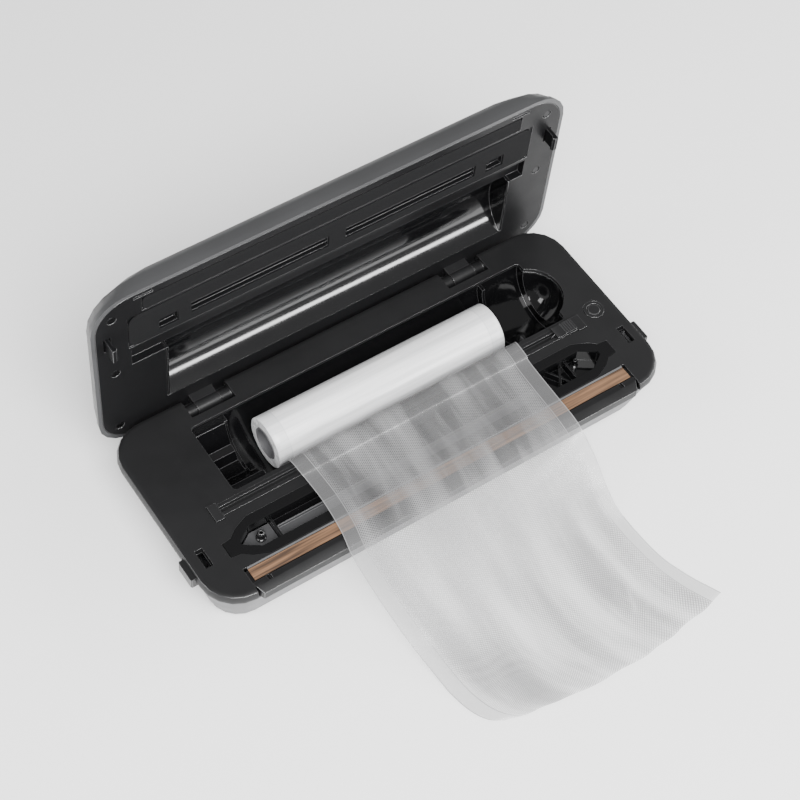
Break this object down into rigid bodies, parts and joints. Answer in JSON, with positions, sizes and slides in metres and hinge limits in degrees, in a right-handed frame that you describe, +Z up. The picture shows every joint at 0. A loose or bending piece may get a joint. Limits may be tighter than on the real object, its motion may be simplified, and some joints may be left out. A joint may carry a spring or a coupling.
{
  "type": "vacuum sealer",
  "caption": "Tabletop vacuum sealer with a hinged lid, film roll bay, sliding cutter, heat-sealing bar and foam-edged vacuum chamber, shown open with film pulled out.",
  "frame": {"origin": "middle of the base's flat underside; the rubber feet reach 2.5 mm below it", "axes": "+X to the right along the length, +Y to the rear, where the hinge is, +Z up"},
  "size_m": [0.3972, 0.3412, 0.2025],
  "materials": {
    "shell_grey": "fine grain, mid grey",
    "deck_black": "satin black",
    "gloss_black": "polished black",
    "soft_black": "soft matt black",
    "lid_grey": "fine grain, dark grey",
    "part_grey": "satin grey",
    "steel": "plain steel",
    "seal_tape": "brown glass-cloth tape",
    "board_green": "green circuit board",
    "bag_film": "clear embossed film"
  },
  "bodies": {
    "base": {"base_shell": "shell_grey", "deck": "deck_black", "heater_bar": "deck_black", "vacuum_chamber": "deck_black", "rail_end": "deck_black", "deck_button_ring": "deck_black", "roll_trough": "gloss_black", "vacuum_nozzle": "gloss_black", "lower_gasket": "soft_black", "foot_1": "soft_black", "foot_2": "soft_black", "foot_3": "soft_black", "foot_4": "soft_black", "vacuum_hose": "soft_black", "cutter_rail": "part_grey", "rail_cap": "part_grey", "intake_plate": "part_grey", "drip_tray": "part_grey", "pump_head": "part_grey", "latch_switch_left": "part_grey", "latch_switch_right": "part_grey", "power_inlet": "part_grey", "heater_element": "steel", "edge_trim": "steel", "hinge_pin_left": "steel", "hinge_pin_right": "steel", "pump_motor": "steel", "power_transformer": "steel", "heater_tape": "seal_tape", "power_board": "board_green", "film_sheet": "bag_film"},
    "lid": {"lid_cover": "lid_grey", "lid_inner_panel": "deck_black", "lid_roll_bay": "gloss_black", "upper_foam": "soft_black", "pressing_strip": "soft_black", "latch_hook_left": "deck_black", "latch_hook_right": "deck_black", "hinge_arm_left": "part_grey", "hinge_arm_right": "part_grey", "lid_screw_1": "steel", "lid_screw_2": "steel", "lid_screw_3": "steel", "lid_screw_4": "steel", "lid_screw_5": "steel", "lid_screw_6": "steel", "control_panel": "gloss_black", "control_board": "board_green"},
    "cutter": {"cutter_slider": "deck_black", "cutter_blade": "steel"},
    "deck_push": {"deck_button": "deck_black"},
    "latch_left": {"latch_button_left": "deck_black"},
    "latch_right": {"latch_button_right": "deck_black"},
    "crank": {"pump_crank": "steel"},
    "roll": {"film_roll": "bag_film", "roll_core": "part_grey"},
    "key_1": {"control_key_1": "part_grey"},
    "key_2": {"control_key_2": "part_grey"},
    "key_3": {"control_key_3": "part_grey"},
    "key_4": {"control_key_4": "part_grey"}
  },
  "joints": [
    {"name": "lid_hinge", "type": "hinge", "parent": "base", "child": "lid", "pos_m": [0, 0.0748, 0.0399], "axis": [1, 0, 0], "range_deg": [0, 87.9]},
    {"name": "cutter_slide", "type": "slide", "parent": "base", "child": "cutter", "axis": [1, 0, 0], "range_m": [-0.287, 0]},
    {"name": "deck_button_press", "type": "slide", "parent": "base", "child": "deck_push", "axis": [0, 0, -1], "range_m": [0, 0.0012], "stiffness_N_per_m": 400, "springref_m": -0.002},
    {"name": "latch_left_press", "type": "slide", "parent": "base", "child": "latch_left", "axis": [1, 0, 0], "range_m": [0, 0.0025], "stiffness_N_per_m": 600, "springref_m": -0.002},
    {"name": "latch_right_press", "type": "slide", "parent": "base", "child": "latch_right", "axis": [-1, 0, 0], "range_m": [0, 0.0025], "stiffness_N_per_m": 600, "springref_m": -0.002},
    {"name": "crank_spin", "type": "hinge", "parent": "base", "child": "crank", "pos_m": [-0.01, -0.0421, 0.018], "axis": [1, 0, 0], "continuous": true},
    {"name": "roll_spin", "type": "hinge", "parent": "base", "child": "roll", "pos_m": [0.007, 0.02695, 0.0329], "axis": [1, 0, 0], "continuous": true},
    {"name": "key_1_press", "type": "slide", "parent": "lid", "child": "key_1", "axis": [0, -0.9993, -0.0366], "range_m": [0, 0.0008], "stiffness_N_per_m": 400, "springref_m": -0.0015},
    {"name": "key_2_press", "type": "slide", "parent": "lid", "child": "key_2", "axis": [0, -0.9993, -0.0366], "range_m": [0, 0.0008], "stiffness_N_per_m": 400, "springref_m": -0.0015},
    {"name": "key_3_press", "type": "slide", "parent": "lid", "child": "key_3", "axis": [0, -0.9993, -0.0366], "range_m": [0, 0.0008], "stiffness_N_per_m": 400, "springref_m": -0.0015},
    {"name": "key_4_press", "type": "slide", "parent": "lid", "child": "key_4", "axis": [0, -0.9993, -0.0366], "range_m": [0, 0.0008], "stiffness_N_per_m": 400, "springref_m": -0.0015}
  ]
}
